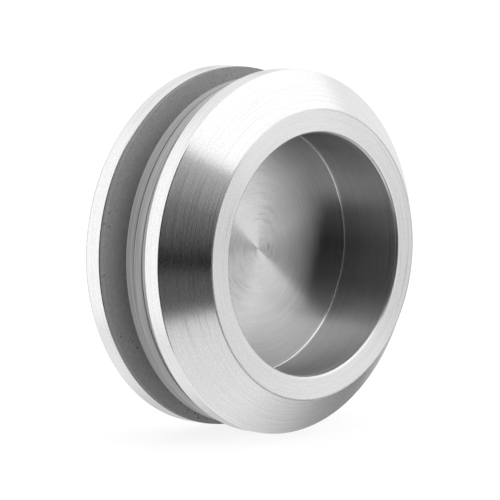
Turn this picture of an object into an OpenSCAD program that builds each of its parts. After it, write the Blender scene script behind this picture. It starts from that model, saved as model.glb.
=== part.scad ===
// Round double-sided cup handle for a glass door.
// Two turned shells screw together through a round hole in the pane and clamp it between
// soft rings. Each shell has a rim, a cone, a flat ring and a deep cup for the fingers.
// The axis of the handle lies along Y: the front cup opens to -Y and the rear cup to +Y.
// The origin is on the axis, midway between the two shells. Sizes are in millimetres.

/* [Shell outside] */
// Width of the straight band round the rim
rim_band = 3.3; // [2:0.1:6]
// Height of the cone between the rim band and the flat ring
cone_h = 6.3; // [4:0.1:7.5]
// Width of the cone, across the axis
cone_w = 6.75; // [5:0.05:12]
// Width of the flat ring round the mouth of the cup
ring_w = 4.25; // [3:0.05:8]
// Rounding of the two edges of the rim band
rim_round = 0.4; // [0.2:0.1:0.9]
// Rounding of the edge between the cone and the flat ring
ring_round = 1.1; // [0.5:0.1:2]

/* [Cup] */
// Inside diameter of the cup, which sets the diameters of everything round it
cup_d = 45.2; // [36:0.2:60]
// Depth of the cup below the flat ring
cup_depth = 14.2; // [13.6:0.2:20]
// How far the grip lip at the mouth stands in over the cup wall
lip_reach = 1.1; // [0.5:0.1:2]
// Height of the grip lip
lip_h = 1.1; // [0.8:0.1:3]
// Rounding of the mouth edge
mouth_round = 0.5; // [0.2:0.1:0.7]
// Fillet between the cup wall and its floor
floor_fillet = 0.4; // [0.2:0.1:1.5]
// Thickness of the cup floor
floor_t = 1; // [0.6:0.1:2]

/* [Screwed joint] */
// Thickness of the front cup's wall, which carries the outer thread
cup_wall = 0.9; // [0.8:0.05:1.2]
// Thickness of the rear sleeve, which screws over the front cup
sleeve_wall = 1.14; // [0.9:0.02:1.6]
// Radial clearance between sleeve and front cup
thread_clearance = 0.06; // [0.02:0.01:0.1]
// Gap between the backs of the two cup floors when fully screwed in
floor_gap = 0.2; // [0.1:0.1:1]
// Gap between the sleeve's end and the front rim when fully screwed in
sleeve_gap = 1.1; // [1:0.1:3]
// Width of the run-out groove at the foot of the outer thread
groove_w = 0.8; // [0.4:0.1:1]
// Depth of the run-out groove
groove_depth = 0.3; // [0.1:0.05:0.5]
// Chamfer at the ends of the sleeve and of the front cup
end_chamfer = 0.3; // [0.1:0.05:0.4]

/* [Soft rings] */
// Thickness of one spacer washer
washer_t = 2; // [1:0.1:2.4]
// How far the washers' outer edge stays inside the rim
washer_inset = 1.3; // [0.5:0.1:2]
// How far the washers hang below the axis on the sleeve
washer_drop = 0.35; // [0:0.05:0.35]
// Thickness of the rear gasket
gasket_t = 0.8; // [0.5:0.1:2]
// How far the rear gasket's outer edge stays inside the rim
gasket_inset = 0.5; // [0.3:0.1:2]
// Radial clearance between the sleeve and the holes of the soft rings
hole_clearance = 1.25; // [1.2:0.05:1.5]
// Rounding of the soft rings' edges
soft_round = 0.2; // [0.1:0.05:0.24]
// Gap between two faces that lie against each other
face_gap = 0.02; // [0.01:0.01:0.05]

/* [Hidden] */
$fn = 180;

// Radii
cup_r = cup_d / 2;
mouth_r = cup_r - lip_reach;
ring_r = mouth_r + ring_w;
rim_r = ring_r + cone_w;
plug_r = cup_r + cup_wall;
socket_r = plug_r + thread_clearance;
sleeve_r = socket_r + sleeve_wall;
soft_hole_r = sleeve_r + hole_clearance;

// Heights above the middle plane, the same in both shells
floor_back = floor_gap / 2;
floor_top = floor_back + floor_t;
face_top = floor_top + cup_depth;
cone_foot = face_top - cone_h;
rim_back = cone_foot - rim_band;
sleeve_end = sleeve_gap - rim_back;
lip_back = face_top - lip_h;

function unit(v) = v / norm(v);

// The region between a sharp corner and the arc that rounds it.
// It is cut from an outward corner, and added to an inward one.
module corner_web(corner, before, after, radius) {
    to_before = unit(before - corner);
    to_after = unit(after - corner);
    half_angle = acos(to_before * to_after) / 2;
    tangent = radius / tan(half_angle);
    centre = corner + unit(to_before + to_after) * radius / sin(half_angle);
    difference() {
        polygon([corner, corner + to_before * tangent, centre, corner + to_after * tangent]);
        translate(centre) circle(radius);
    }
}

// Half section of a shell: the radius is X and the height above the middle plane is Y.
// The points of its back run from the axis to the foot of the rim.
module shell_section(back) {
    rim_foot = [rim_r, rim_back];
    rim_top = [rim_r, cone_foot];
    ring_edge = [ring_r, face_top];
    mouth_edge = [mouth_r, face_top];
    lip_edge = [mouth_r, lip_back];
    wall_top = [cup_r, lip_back - lip_reach];
    wall_foot = [cup_r, floor_top];
    floor_centre = [0, floor_top];
    difference() {
        union() {
            polygon(concat(back, [
                rim_foot,
                rim_top,
                ring_edge,
                mouth_edge,
                lip_edge,
                wall_top,
                wall_foot,
                floor_centre
            ]));
            corner_web(wall_foot, wall_top, floor_centre, floor_fillet);
        }
        corner_web(rim_foot, [0, rim_back], rim_top, rim_round);
        corner_web(rim_top, rim_foot, ring_edge, rim_round);
        corner_web(ring_edge, rim_top, mouth_edge, ring_round);
        corner_web(mouth_edge, ring_edge, lip_edge, mouth_round);
    }
}

// Turns a half section about the handle's axis, with its height towards the front
module turned_front() {
    rotate([90, 0, 0]) rotate_extrude() children();
}

// Turns a half section about the handle's axis, with its height towards the rear
module turned_rear() {
    rotate([-90, 0, 0]) rotate_extrude() children();
}

// The front shell: its cup is the plug that carries the outer thread
module front_shell() {
    color([0.80, 0.80, 0.81])
    turned_front()
    shell_section([
        [0, floor_back],
        [plug_r - end_chamfer, floor_back],
        [plug_r, floor_back + end_chamfer],
        [plug_r, rim_back - groove_w - groove_depth],
        [plug_r - groove_depth, rim_back - groove_w],
        [plug_r - groove_depth, rim_back]
    ]);
}

// The rear shell: a sleeve round the back of its cup takes the front cup
module rear_shell() {
    color([0.76, 0.76, 0.77])
    turned_rear()
    shell_section([
        [0, floor_back],
        [socket_r, floor_back],
        [socket_r, sleeve_end + end_chamfer],
        [socket_r + end_chamfer, sleeve_end],
        [sleeve_r - end_chamfer, sleeve_end],
        [sleeve_r, sleeve_end + end_chamfer],
        [sleeve_r, rim_back]
    ]);
}

// Half section of a flat soft ring with rounded edges
module soft_ring_section(inner_r, outer_r, thickness) {
    corners = [[inner_r, 0], [outer_r, 0], [outer_r, thickness], [inner_r, thickness]];
    difference() {
        polygon(corners);
        for (i = [0:3])
            corner_web(corners[i], corners[(i + 3) % 4], corners[(i + 1) % 4], soft_round);
    }
}

// A spacer washer: place 1 lies against the front rim. It hangs on the sleeve.
module spacer_washer(place) {
    color([0.72, 0.72, 0.71])
    translate([0, place * (washer_t + face_gap) - rim_back, -washer_drop])
    turned_front()
    soft_ring_section(soft_hole_r, rim_r - washer_inset, washer_t);
}

// The gasket that lies against the rear rim
module rear_gasket() {
    color([0.24, 0.24, 0.25])
    translate([0, rim_back - face_gap, 0])
    turned_front()
    soft_ring_section(soft_hole_r, rim_r - gasket_inset, gasket_t);
}

front_shell();
spacer_washer(1);  // spacer_washer_1
spacer_washer(2);  // spacer_washer_2
spacer_washer(3);  // spacer_washer_3
rear_gasket();
rear_shell();
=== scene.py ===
"""Looks of a round double-sided cup handle for a glass door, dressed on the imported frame."""
import math

import bmesh
import bpy
from mathutils import Matrix, Vector


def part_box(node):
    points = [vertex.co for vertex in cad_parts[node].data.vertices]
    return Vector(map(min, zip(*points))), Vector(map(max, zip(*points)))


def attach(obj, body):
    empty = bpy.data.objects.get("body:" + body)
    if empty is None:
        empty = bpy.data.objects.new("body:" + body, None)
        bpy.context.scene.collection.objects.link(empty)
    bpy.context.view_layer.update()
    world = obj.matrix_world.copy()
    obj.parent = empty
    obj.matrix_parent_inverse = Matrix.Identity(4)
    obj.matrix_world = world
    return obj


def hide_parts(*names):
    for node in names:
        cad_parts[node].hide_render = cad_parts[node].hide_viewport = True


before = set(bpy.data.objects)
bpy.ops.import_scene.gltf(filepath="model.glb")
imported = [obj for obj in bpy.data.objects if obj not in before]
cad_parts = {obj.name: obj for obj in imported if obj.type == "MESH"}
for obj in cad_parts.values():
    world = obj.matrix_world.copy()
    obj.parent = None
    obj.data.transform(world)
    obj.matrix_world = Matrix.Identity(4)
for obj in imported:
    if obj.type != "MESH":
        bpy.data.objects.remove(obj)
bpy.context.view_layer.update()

MM = 0.001

# Points round a ring, steps along the arc of a rounded edge, and the radius below which a
# point lies on the axis
SEGMENTS = 384
SHELL_ARC_STEPS = 8
SOFT_ARC_STEPS = 6
ON_AXIS = 1e-6

# Sizes of the shells in millimetres. Heights are measured from the middle plane. They are
# those of the CAD model, apart from the grip lip, which is 0.4 higher here.
shell_low, shell_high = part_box("front_shell")
RIM_R = (shell_high[0] - shell_low[0]) / 2 / MM
FACE_TOP = -shell_low[1] / MM
CONE_H = 6.3
RIM_BAND = 3.3
RING_R = 25.75
CUP_R = 22.6
CUP_DEPTH = 14.2
FLOOR_T = 1.0
LIP_REACH = 1.1
LIP_H = 1.5
CUP_WALL = 0.9
SLEEVE_WALL = 1.14
THREAD_CLEARANCE = 0.06
SLEEVE_GAP = 1.1
GROOVE_W = 0.8
GROOVE_DEPTH = 0.3
END_CHAMFER = 0.3

MOUTH_R = CUP_R - LIP_REACH
PLUG_R = CUP_R + CUP_WALL
SOCKET_R = PLUG_R + THREAD_CLEARANCE
SLEEVE_R = SOCKET_R + SLEEVE_WALL
LIP_BACK = FACE_TOP - LIP_H
FLOOR_TOP = FACE_TOP - CUP_DEPTH
FLOOR_BACK = FLOOR_TOP - FLOOR_T
CONE_FOOT = FACE_TOP - CONE_H
RIM_BACK = CONE_FOOT - RIM_BAND
SLEEVE_END = SLEEVE_GAP - RIM_BACK

# Roundings of the shells' edges
RIM_BACK_ROUND = 0.15
RIM_FRONT_ROUND = 0.4
RING_ROUND = 0.5
MOUTH_ROUND = 0.5
LIP_ROUND = 0.1
LIP_FOOT_ROUND = 0.2
FLOOR_FILLET = 0.4
BACK_ROUND = 0.05
GROOVE_ROUND = 0.03

# The screw thread between the shells. A flank of 1 would make a plain zigzag, and a larger one
# has flat crests and roots. The slope leads from the thread's root into the groove.
PITCH = 1.0
THREAD_DEPTH = 0.5
RINGS_PER_PITCH = 16
FLANK = 1.7
GROOVE_SLOPE = 0.1
PLUG_ROOT_R = PLUG_R - THREAD_DEPTH / 2
SOCKET_ROOT_R = SOCKET_R + THREAD_DEPTH / 2

# The soft rings. The relief leaves room for a washer's waves.
FACE_GAP = 0.02
HOLE_CLEARANCE = 1.25
HOLE_R = SLEEVE_R + HOLE_CLEARANCE
WASHER_T = 2.0
WASHER_INSET = 1.3
WASHER_R = RIM_R - WASHER_INSET
WASHER_RELIEF = 0.03
WASHER_ROUND = 0.15
WASHER_OUT_OF_ROUND = 0.002
GASKET_T = 0.8
GASKET_INSET = 0.1
GASKET_R = RIM_R - GASKET_INSET
GASKET_ROUND = 0.05

# Each washer's tone, drop below the axis, shift aside, and height and phase of its waves. The
# tones darken from the front washer to the rear one as painted shade.
WASHERS = [
    (0.5, 0.25, 0.05, 0.02, 0.3),
    (0.45, 0.45, -0.1, 0.03, 1.9),
    (0.36, 0.35, 0.0, 0.02, 4.0),
]

# Surface zones of a shell, in the order of its material slots
RIM, CONE, SHOULDER, RING, MOUTH, WALL, FILLET, FLOOR, BACK = range(9)

# The zone of the gasket's cut edge, whose darker rubber is painted shade along the line where the
# gasket meets the rim.
GASKET_EDGE = 1


class Corner:
    """A corner of a half section: radius, height and rounding, and the zone after it.

    Its arc may have a zone of its own. A thread on the wall after it rises from its root by
    THREAD_DEPTH times thread, which is 1 on a plug and -1 in a socket.
    """

    def __init__(self, r, h, rounding, zone, arc=None, thread=0):
        self.at = Vector((r, h))
        self.rounding = rounding
        self.zone = zone
        self.arc = zone if arc is None else arc
        self.thread = thread


class Station:
    """A point of a rounded half section, with its outward normal and its share of the thread.

    A normal of zero leaves the shading there to the mesh itself.
    """

    def __init__(self, at, normal, zone, thread=0.0):
        self.at = at
        self.normal = normal
        self.zone = zone
        self.thread = thread


def outward(direction):
    """The outward normal of a half section that runs anticlockwise, with the radius as X."""
    return Vector((direction.y, -direction.x)).normalized()


def threaded(start, end, zone, thread):
    """Stations along a threaded wall, with the thread's depth fading in and out at its ends."""
    span = end - start
    count = max(2, round(span.length / PITCH * RINGS_PER_PITCH))
    fade = PITCH / 2
    for i in range(1, count):
        along = span.length * i / count
        depth = min(1.0, along / fade, (span.length - along) / fade)
        yield Station(start + span * (i / count), Vector((0, 0)), zone, depth * thread)


def corner_arc(before, corner, after):
    """Stations along the arc that rounds a corner between its two neighbours."""
    to_before = (before.at - corner.at).normalized()
    to_after = (after.at - corner.at).normalized()
    half = to_before.angle(to_after) / 2
    tangent = corner.rounding / math.tan(half)
    centre = corner.at + (to_before + to_after).normalized() * corner.rounding / math.sin(half)
    first, last = outward(-to_before), outward(to_after)
    turn = first.angle_signed(last)
    start = corner.at + to_before * tangent
    inward_corner = (start - centre).dot(first) < 0
    reach = -corner.rounding if inward_corner else corner.rounding
    for k in range(SHELL_ARC_STEPS + 1):
        normal = Matrix.Rotation(-turn * k / SHELL_ARC_STEPS, 2) @ first
        zone = corner.arc if k < SHELL_ARC_STEPS else corner.zone
        yield Station(centre + normal * reach, normal, zone)


def rounded(corners):
    """The stations of a shell's half section, with its corners rounded and its thread cut."""
    first, last = corners[0], corners[-1]
    stations = [Station(first.at, outward(corners[1].at - first.at), first.zone)]
    for before, corner, after in zip(corners, corners[1:], corners[2:]):
        stations += corner_arc(before, corner, after)
        if corner.thread:
            way = (after.at - corner.at).normalized()
            end = after.at - way * after.rounding
            stations += threaded(stations[-1].at, end, corner.zone, corner.thread)
    stations.append(Station(last.at, outward(last.at - corners[-2].at), last.zone))
    return stations


def thread_wave(y, theta):
    """Height of a right-handed thread's form: 0 at its smallest radius, 1 at its largest."""
    phase = (y / PITCH - theta / math.tau) % 1.0
    return (1 + max(-1.0, min(1.0, FLANK * (abs(phase - 0.5) * 4 - 1)))) / 2


def add_faces(bm, rings, zones):
    """Faces from each ring of points to the next, and from the last ring back to the first.

    A ring of one point lies on the axis. Where the first ring is one, nothing joins it to the
    last.
    """
    pairs = list(zip(rings, rings[1:] + rings[:1]))
    if len(rings[0]) == 1:
        pairs.pop()
    for (low, high), zone in zip(pairs, zones):
        for k in range(SEGMENTS):
            n = (k + 1) % SEGMENTS
            if len(low) == 1:
                face = bm.faces.new((low[0], high[k], high[n]))
            elif len(high) == 1:
                face = bm.faces.new((low[k], high[0], low[n]))
            else:
                face = bm.faces.new((low[k], high[k], high[n], low[n]))
            face.smooth = True
            face.material_index = zone


def lathe(name, stations, side, materials, bend=None):
    """A closed solid of revolution about Y, whose points may be moved by bend.

    side is -1 for a piece whose heights run to -Y, and 1 for one whose heights run to +Y.
    """
    bm = bmesh.new()
    rings = []
    normals = []
    for s in stations:
        y = s.at.y * side
        if s.at.x < ON_AXIS:
            rings.append([bm.verts.new((0, y * MM, 0))])
            normals.append(Vector((0, s.normal.y * side, 0)))
            continue
        ring = []
        for k in range(SEGMENTS):
            theta = math.tau * k / SEGMENTS
            wave = thread_wave(y, theta)
            rise = wave if s.thread > 0 else 1 - wave
            r = s.at.x + s.thread * THREAD_DEPTH * rise
            place = Vector((r * math.sin(theta), y, r * math.cos(theta)))
            if bend:
                place = bend(place, theta)
            ring.append(bm.verts.new(place * MM))
            normals.append(Vector((
                s.normal.x * math.sin(theta),
                s.normal.y * side,
                s.normal.x * math.cos(theta),
            )))
        rings.append(ring)
    add_faces(bm, rings, [s.zone for s in stations])
    bmesh.ops.recalc_face_normals(bm, faces=bm.faces)
    mesh = bpy.data.meshes.new(name)
    bm.to_mesh(mesh)
    bm.free()
    mesh.normals_split_custom_set_from_vertices(normals)
    for material in materials:
        mesh.materials.append(material)
    piece = bpy.data.objects.new(name, mesh)
    bpy.context.scene.collection.objects.link(piece)
    return piece


def shell_outline(back):
    """The corners of a shell's half section: its back, then from the rim to the cup floor."""
    return back + [
        Corner(RIM_R, RIM_BACK, RIM_BACK_ROUND, RIM),
        Corner(RIM_R, CONE_FOOT, RIM_FRONT_ROUND, CONE),
        Corner(RING_R, FACE_TOP, RING_ROUND, RING, arc=SHOULDER),
        Corner(MOUTH_R, FACE_TOP, MOUTH_ROUND, WALL, arc=MOUTH),
        Corner(MOUTH_R, LIP_BACK, LIP_ROUND, WALL),
        Corner(CUP_R, LIP_BACK - LIP_REACH, LIP_FOOT_ROUND, WALL),
        Corner(CUP_R, FLOOR_TOP, FLOOR_FILLET, FLOOR, arc=FILLET),
        Corner(0, FLOOR_TOP, 0, FLOOR),
    ]


def front_back():
    """The front shell's back: the plug with its outer thread, the groove and the rim's back."""
    groove_r = PLUG_R - GROOVE_DEPTH
    groove_start = RIM_BACK - GROOVE_W
    return [
        Corner(0, FLOOR_BACK, 0, BACK),
        Corner(PLUG_ROOT_R, FLOOR_BACK, BACK_ROUND, BACK, thread=1),
        Corner(PLUG_ROOT_R, groove_start - GROOVE_SLOPE, GROOVE_ROUND, BACK),
        Corner(groove_r, groove_start, BACK_ROUND, BACK),
        Corner(groove_r, RIM_BACK, BACK_ROUND, BACK),
    ]


def rear_back():
    """The rear shell's back: the socket with its inner thread, the sleeve and the rim's back."""
    return [
        Corner(0, FLOOR_BACK, 0, BACK),
        Corner(SOCKET_ROOT_R, FLOOR_BACK, BACK_ROUND, BACK, thread=-1),
        Corner(SOCKET_ROOT_R, SLEEVE_END, BACK_ROUND, BACK),
        Corner(SLEEVE_R - END_CHAMFER, SLEEVE_END, BACK_ROUND, BACK),
        Corner(SLEEVE_R, SLEEVE_END + END_CHAMFER, BACK_ROUND, BACK),
        Corner(SLEEVE_R, RIM_BACK, BACK_ROUND, BACK),
    ]


def ring_outline(inner, outer, low, high, rounding, edge=0):
    """The stations of a flat ring's half section, all round it; edge is the outer face's zone."""
    corners = [Vector(p) for p in ((inner, low), (outer, low), (outer, high), (inner, high))]
    start_angles = (180, 270, 0, 90)
    stations = []
    for i, corner in enumerate(corners):
        inward = Vector((1 if i in (0, 3) else -1, 1 if i < 2 else -1)) * rounding
        for k in range(SOFT_ARC_STEPS + 1):
            angle = math.radians(start_angles[i] + 90 * k / SOFT_ARC_STEPS)
            normal = Vector((math.cos(angle), math.sin(angle)))
            zone = edge if (i, k) == (1, SOFT_ARC_STEPS) else 0
            stations.append(Station(corner + inward + normal * rounding, normal, zone))
    return stations


class Nodes:
    """A short way to write a node tree."""

    def __init__(self, tree):
        self.tree = tree
        tree.nodes.clear()

    def add(self, kind, **inputs):
        """A node with its props set. An input goes by its name, or by its place as i0, i1 ..."""
        node = self.tree.nodes.new(kind)
        for key, value in inputs.pop("props", {}).items():
            setattr(node, key, value)
        for key, value in inputs.items():
            by_place = key[0] == "i" and key[1:].isdigit()
            socket = node.inputs[int(key[1:]) if by_place else key.replace("_", " ")]
            if isinstance(value, bpy.types.NodeSocket):
                self.tree.links.new(value, socket)
            else:
                socket.default_value = value
        return node

    def math(self, operation, a, b=0.0, c=0.0):
        """The result of a Math node."""
        node = self.add("ShaderNodeMath", props={"operation": operation}, i0=a, i1=b, i2=c)
        return node.outputs[0]

    def spread(self, value, low, high, to_low=0.0, to_high=1.0, smooth=False):
        """value taken from low..high to to_low..to_high, without going past either."""
        kind = "SMOOTHSTEP" if smooth else "LINEAR"
        return self.add(
            "ShaderNodeMapRange",
            props={"interpolation_type": kind, "clamp": True},
            i0=value, i1=low, i2=high, i3=to_low, i4=to_high,
        ).outputs[0]

    def blend(self, share, colour, other):
        """colour with a share of the other mixed in. Each may be a socket."""
        node = self.add(
            "ShaderNodeMix",
            props={"data_type": "RGBA"},
            Factor=share, i6=colour, i7=other,
        )
        return node.outputs[2]

    def place(self):
        """The place of a point on its piece, in metres."""
        return self.add("ShaderNodeTexCoord").outputs["Object"]

    def grain(self, scale, detail):
        """Even noise, with about scale changes per metre."""
        return self.add(
            "ShaderNodeTexNoise",
            Vector=self.place(), Scale=scale, Detail=detail,
        ).outputs[0]


def new_material(name):
    """A new material, and the short way to write its nodes."""
    material = bpy.data.materials.new(name)
    material.use_nodes = True
    return material, Nodes(material.node_tree)


def toned(colour, factor):
    """The colour times a factor, as a node takes it."""
    return [c * factor for c in colour] + [1]


def turned_coordinates(n, centre=(0, 0)):
    """Radius and height in millimetres, and the cosine and sine of the angle round the centre."""
    smallest_r = 0.01
    xyz = n.add("ShaderNodeSeparateXYZ", i0=n.place()).outputs
    x = n.math("MULTIPLY_ADD", xyz[0], 1 / MM, -centre[0])
    y = n.math("MULTIPLY", xyz[1], 1 / MM)
    z = n.math("MULTIPLY_ADD", xyz[2], 1 / MM, -centre[1])
    squares = n.math("ADD", n.math("MULTIPLY", x, x), n.math("MULTIPLY", z, z))
    r = n.math("MAXIMUM", n.math("SQRT", squares), smallest_r)
    return r, y, n.math("DIVIDE", x, r), n.math("DIVIDE", z, r)


def groove_noise(n, turned, per_mm, around, seed):
    """Noise drawn out round the axis: per_mm changes across the grooves, around along them."""
    r, y, cosine, sine = turned
    vector = n.add(
        "ShaderNodeCombineXYZ",
        i0=n.math("MULTIPLY", r, per_mm),
        i1=n.math("MULTIPLY", y, per_mm),
        i2=n.math("MULTIPLY", cosine, around),
    ).outputs[0]
    w = n.math("ADD", n.math("MULTIPLY", sine, around), seed)
    return n.add(
        "ShaderNodeTexNoise",
        props={"noise_dimensions": "4D"},
        Vector=vector, W=w, Scale=1.0, Detail=2.0, Roughness=0.6,
    ).outputs[0]


# The turned steel: depth of its finest grooves and centre of its swirls in millimetres, how far
# its tone strays, and its roughness between the tool marks as a share of the stated one
TURNING_DEPTH = 0.004
SWIRL_CENTRE = (26.0, 18.0)
TONE_STRAYS = 0.08
SMOOTH_SHARE = 0.92


def turned_steel(name, tone, roughness, anisotropy, seed, per_mm=2.5, streak=0.5, swirl=0.0):
    """Stainless steel with turning grooves round the axis, which draw highlights across them.

    per_mm is how close the heavier tool marks lie and streak how much rougher they are, and
    swirl is the weight of the arcs that a wandering tool leaves on a flat floor.
    """
    material, n = new_material(name)
    turned = turned_coordinates(n)
    fine = groove_noise(n, turned, per_mm * 3, 2.0, seed)
    lines = groove_noise(n, turned, per_mm, 1.2, seed + 7)
    bands = groove_noise(n, turned, per_mm * 0.3, 0.8, seed + 13)
    grain = n.grain(4500.0, 2.0)
    height = n.math("MULTIPLY_ADD", lines, 2.0, n.math("ADD", fine, grain))
    height = n.math("MULTIPLY_ADD", bands, 4.0, height)
    if swirl:
        arcs = groove_noise(n, turned_coordinates(n, SWIRL_CENTRE), 2.5, 6.0, seed + 19)
        height = n.math("MULTIPLY_ADD", arcs, swirl, height)
    bump = n.add("ShaderNodeBump", Strength=1.0, Distance=TURNING_DEPTH * MM, Height=height)
    darkest, lightest = tone * (1 - TONE_STRAYS), tone * (1 + TONE_STRAYS)
    shade = n.spread(n.math("ADD", lines, grain), 0.8, 1.2, darkest, lightest)
    colour = n.add("ShaderNodeCombineColor", i0=shade, i1=shade, i2=shade).outputs[0]
    scratches = n.spread(fine, 0.5, 0.75, 0.0, 0.4)
    marks = n.math("MULTIPLY_ADD", n.spread(lines, 0.52, 0.68), 0.6, scratches)
    rough = n.math("MULTIPLY_ADD", marks, roughness * streak, roughness * SMOOTH_SHARE)
    tangent = n.add("ShaderNodeTangent", props={"direction_type": "RADIAL", "axis": "Y"})
    shader = n.add(
        "ShaderNodeBsdfPrincipled",
        Base_Color=colour, Metallic=1.0, Roughness=rough, Normal=bump.outputs[0],
        Anisotropic=anisotropy, Anisotropic_Rotation=0.25, Tangent=tangent.outputs[0],
    )
    n.add("ShaderNodeOutputMaterial", Surface=shader.outputs[0])
    return material


def soft_plastic(name, tone, seed):
    """Soft grey plastic with a faint grain and streaks of slightly other tones."""
    material, n = new_material(name)
    streaks = groove_noise(n, turned_coordinates(n), 5.0, 1.5, seed)
    height = n.math("ADD", n.math("MULTIPLY", streaks, 0.5), n.grain(2500.0, 3.0))
    bump = n.add("ShaderNodeBump", Strength=0.6, Distance=0.03 * MM, Height=height)
    grey = (tone, tone, tone)
    colour = n.blend(n.spread(streaks, 0.4, 0.66), toned(grey, 0.84), toned(grey, 1.3))
    shader = n.add(
        "ShaderNodeBsdfPrincipled",
        Base_Color=colour, Roughness=0.4, Normal=bump.outputs[0],
    )
    n.add("ShaderNodeOutputMaterial", Surface=shader.outputs[0])
    return material


def gasket_rubber(name, colour):
    """Matt grey rubber with fine dark specks, which lie in loose clouds."""
    material, n = new_material(name)
    grain = n.grain(3000.0, 4.0)
    clouds = n.spread(n.grain(120.0, 2.0), 0.55, 0.6)
    cells = n.add("ShaderNodeTexVoronoi", Vector=n.place(), Scale=900.0).outputs["Distance"]
    specks = n.math("MULTIPLY", n.spread(cells, 0.12, 0.2, 1, 0), clouds)
    base = n.blend(n.spread(grain, 0.3, 0.7), toned(colour, 0.85), toned(colour, 1.15))
    speckled = n.blend(specks, base, toned(colour, 0.25))
    bump = n.add("ShaderNodeBump", Strength=0.5, Distance=0.03 * MM, Height=grain)
    shader = n.add(
        "ShaderNodeBsdfPrincipled",
        Base_Color=speckled, Roughness=0.75, Normal=bump.outputs[0],
    )
    n.add("ShaderNodeOutputMaterial", Surface=shader.outputs[0])
    return material


def make_shells():
    """The two turned shells, with their true fillets and thread."""
    # In the order of the zones. The tones are of one steel, set zone by zone to how bright each
    # looks, so they carry painted light: the cup wall's dark tone is painted shade inside the
    # cup, and the lighter tones of the fillet and mouth are a painted highlight along those
    # edges.
    steels = [
        turned_steel("steel_rim", 0.72, 0.234, 0.778, 1.0),
        turned_steel("steel_cone", 0.74, 0.24, 0.778, 2.0, per_mm=4.0),
        turned_steel("steel_shoulder", 0.76, 0.5, 0.85, 3.0),
        turned_steel("steel_ring", 0.665, 0.267, 0.915, 4.0),
        turned_steel("steel_mouth", 0.78, 0.38, 0.5, 5.0, streak=0.2),
        turned_steel("steel_wall_painted_shade", 0.55, 0.34, 1.0, 6.0),
        turned_steel("steel_fillet", 0.8, 0.2, 0.4, 5.0, streak=0.2),
        turned_steel("steel_floor", 0.74, 0.345, 1.0, 27.0, per_mm=4.0, swirl=0.6),
        turned_steel("steel_back", 0.62, 0.34, 0.9, 8.0),
    ]
    front = lathe("front_turned_shell", rounded(shell_outline(front_back())), -1, steels)
    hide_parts("front_shell")
    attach(front, "front_half")
    rear = lathe("rear_turned_shell", rounded(shell_outline(rear_back())), 1, steels)
    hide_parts("rear_shell")
    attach(rear, "rear_half")


def washer_bend(drop, aside, wave, phase):
    """Shifts a washer on the sleeve and lets it undulate a little, as soft rings do."""
    def bend(place, theta):
        ripple = wave * (math.sin(2 * theta + phase) + 0.5 * math.sin(5 * theta + 2 * phase))
        grow = 1 + WASHER_OUT_OF_ROUND * math.sin(3 * theta + phase)
        return Vector((place.x * grow + aside, place.y + ripple, place.z * grow - drop))
    return bend


def make_washers():
    """The three spacer washers behind the front rim, of which the first lies against it."""
    for place, (tone, drop, aside, wave, phase) in enumerate(WASHERS, start=1):
        high = place * (WASHER_T + FACE_GAP) - RIM_BACK
        low = high - WASHER_T + WASHER_RELIEF
        stations = ring_outline(HOLE_R, WASHER_R, low, high - WASHER_RELIEF, WASHER_ROUND)
        name = f"spacer_washer_{place}"
        plastic = soft_plastic(f"spacer_plastic_{place}", tone, 11.0 * place)
        bend = washer_bend(drop, aside, wave, phase)
        piece = lathe(f"washer_{place}", stations, 1, [plastic], bend)
        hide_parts(name)
        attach(piece, "front_half")


def make_gasket():
    """The thin rubber gasket on the rear rim."""
    high = RIM_BACK - FACE_GAP
    low = high - GASKET_T
    stations = ring_outline(HOLE_R, GASKET_R, low, high, GASKET_ROUND, edge=GASKET_EDGE)
    # In the order of the gasket's zones. The edge's darker rubber is painted shade.
    rubbers = [
        gasket_rubber("gasket_rubber", (0.52, 0.52, 0.525)),
        gasket_rubber("gasket_edge_painted_shade", (0.3, 0.3, 0.305)),
    ]
    piece = lathe("gasket_ring", stations, 1, rubbers)
    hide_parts("rear_gasket")
    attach(piece, "gasket")


# The camera, as a fit of the photograph's circles gives it. The offset is the place of the
# centre of the front rim's front edge, right, down and ahead of the camera, in rim radii.
CAMERA_TURN = math.radians(-45.47)
CAMERA_TILT = math.radians(6.65)
CAMERA_OFFSET = (0.2174, 0.0116, 17.2097)
FOCAL_PIXELS = 3148.4
FRAME_PIXELS = 500
SENSOR_MM = 36.0


def make_camera():
    """The photograph's camera."""
    right = Vector((math.cos(CAMERA_TURN), math.sin(CAMERA_TURN), 0))
    ahead = Vector((
        -math.sin(CAMERA_TURN) * math.cos(CAMERA_TILT),
        math.cos(CAMERA_TURN) * math.cos(CAMERA_TILT),
        -math.sin(CAMERA_TILT),
    ))
    down = ahead.cross(right)
    offset = CAMERA_OFFSET[0] * right + CAMERA_OFFSET[1] * down + CAMERA_OFFSET[2] * ahead
    rim_centre = Vector((0, -CONE_FOOT * MM, 0))
    data = bpy.data.cameras.new("camera")
    data.sensor_width = SENSOR_MM
    data.lens = FOCAL_PIXELS / FRAME_PIXELS * SENSOR_MM
    data.clip_start = 0.01
    camera = bpy.data.objects.new("camera", data)
    turn = Matrix((right, -down, -ahead)).transposed()
    camera.matrix_world = Matrix.Translation(rim_centre - offset * RIM_R * MM) @ turn.to_4x4()
    bpy.context.scene.collection.objects.link(camera)
    bpy.context.scene.camera = camera


class Card:
    """A flat studio card a metre away, seen from the handle.

    Azimuth runs from -Y towards +X, and roll lifts the card's right side, both in degrees. Half
    sizes and the softness of the edges are in metres. Strength is how bright the card looks:
    white paper is 1.
    """

    def __init__(
        self, azimuth, elevation, half_width, half_height, softness, strength, roll=0
    ):
        self.half_size = (half_width, half_height)
        self.softness = softness
        self.strength = strength
        across = Vector((math.cos(math.radians(azimuth)), math.sin(math.radians(azimuth)), 0))
        level = Vector((across.y, -across.x, 0))
        self.ahead = Matrix.Rotation(math.radians(-elevation), 3, across) @ level
        turn = Matrix.Rotation(math.radians(roll), 3, self.ahead)
        self.sides = (turn @ across, turn @ across.cross(self.ahead))


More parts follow.
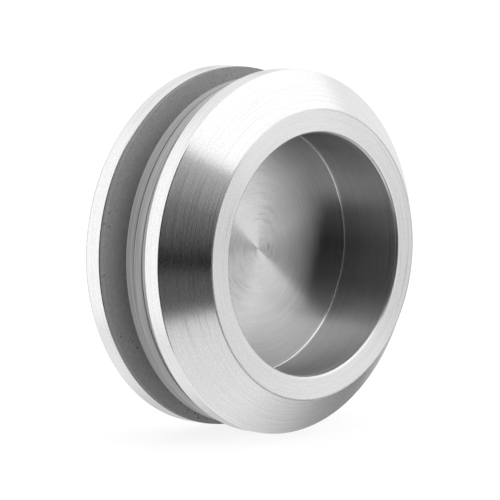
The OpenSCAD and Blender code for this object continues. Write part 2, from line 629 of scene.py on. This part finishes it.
# The studio: white walls, a brighter ceiling, and a dark opening where the photographer stands.
# A card covers those before it.
WALL_LIGHT = 1.08
CARDS = {
    "ceiling": Card(12, 56, 2.0, 0.9, 1.2, 1.38),
    "left wall": Card(-135, 20, 0.42, 1.45, 0.95, 1.43),
    "right back wall": Card(142, -3, 0.1, 0.37, 0.14, 0.4),
    "door": Card(178, -2, 0.3, 0.35, 0.2, 0.05),
    "back table": Card(135, -30, 0.4, 0.4, 0.5, 0.7),
    "table shade": Card(40, -40, 2.8, 0.4, 0.3, 0.17),
    "table": Card(0, -90, 0.35, 0.55, 0.4, 1.1),
    "opening haze": Card(-30, 22, 0.4, 0.355, 0.06, 0.72, roll=-36),
    "opening left": Card(-75, 3, 0.68, 1.55, 0.35, 0.0),
    "photographer": Card(-39, -5, 0.13, 0.5, 0.2, 0.36),
    "coat": Card(-33, -18, 0.13, 0.15, 0.08, 0.12),
    "opening": Card(-10, 0.5, 0.53, 0.52, 0.06, 0.0, roll=-36),
    "right panel": Card(40, 0, 0.26, 0.45, 0.2, 1.23),
    "right flag": Card(73, 0, 0.27, 0.55, 0.08, 0.66),
    "table front": Card(-35, -45, 0.24, 0.24, 0.05, 1.05),
}


def make_world():
    """A white studio with its cards; the camera sees its plain white."""
    world = bpy.data.worlds.new("studio")
    bpy.context.scene.world = world
    world.use_nodes = True
    n = Nodes(world.node_tree)
    way = n.add("ShaderNodeTexCoord").outputs["Generated"]
    way = n.add("ShaderNodeVectorMath", props={"operation": "NORMALIZE"}, i0=way).outputs[0]

    def along(axis):
        props = {"operation": "DOT_PRODUCT"}
        return n.add("ShaderNodeVectorMath", props=props, i0=way, i1=axis).outputs["Value"]

    light = WALL_LIGHT
    for card in CARDS.values():
        ahead = along(card.ahead)
        inside = n.math("GREATER_THAN", ahead, 0)
        distance = n.math("MAXIMUM", ahead, 0.001)
        for side, half in zip(card.sides, card.half_size):
            place = n.math("ABSOLUTE", n.math("DIVIDE", along(side), distance))
            low, high = half - card.softness / 2, half + card.softness / 2
            inside = n.math("MULTIPLY", inside, n.spread(place, low, high, 1, 0, smooth=True))
        change = n.math("MULTIPLY", n.math("SUBTRACT", card.strength, light), inside)
        light = n.math("ADD", light, change)
    seen = n.add("ShaderNodeLightPath").outputs["Is Camera Ray"]
    strength = n.math("ADD", n.math("MULTIPLY", light, n.math("SUBTRACT", 1.0, seen)), seen)
    background = n.add("ShaderNodeBackground", Color=(1, 1, 1, 1), Strength=strength)
    n.add("ShaderNodeOutputWorld", Surface=background.outputs[0])


# The floor: half its width in metres, its colour, its glow and how much more the camera sees
FLOOR_HALF_WIDTH = 3.0
FLOOR_COLOUR = (0.2, 0.2, 0.2, 1)
FLOOR_GLOW = 0.4
FLOOR_GLOW_SEEN = 0.46


def make_floor():
    """A plain white floor under the rims, which keeps the handle's soft shadow."""
    bm = bmesh.new()
    bmesh.ops.create_grid(bm, x_segments=1, y_segments=1, size=FLOOR_HALF_WIDTH)
    mesh = bpy.data.meshes.new("floor")
    bm.to_mesh(mesh)
    bm.free()
    floor = bpy.data.objects.new("floor", mesh)
    floor.location = (0, 0, -RIM_R * MM)
    floor.visible_glossy = False
    bpy.context.scene.collection.objects.link(floor)
    material, n = new_material("floor_white")
    seen = n.add("ShaderNodeLightPath").outputs["Is Camera Ray"]
    strength = n.math("MULTIPLY_ADD", seen, FLOOR_GLOW_SEEN, FLOOR_GLOW)
    glow = n.add("ShaderNodeEmission", Strength=strength)
    diffuse = n.add("ShaderNodeBsdfDiffuse", Color=FLOOR_COLOUR)
    both = n.add("ShaderNodeAddShader", i0=glow.outputs[0], i1=diffuse.outputs[0])
    n.add("ShaderNodeOutputMaterial", Surface=both.outputs[0])
    mesh.materials.append(material)


make_camera()
make_shells()
make_washers()
make_gasket()
make_world()
make_floor()

bpy.context.scene.view_settings.view_transform = "Standard"
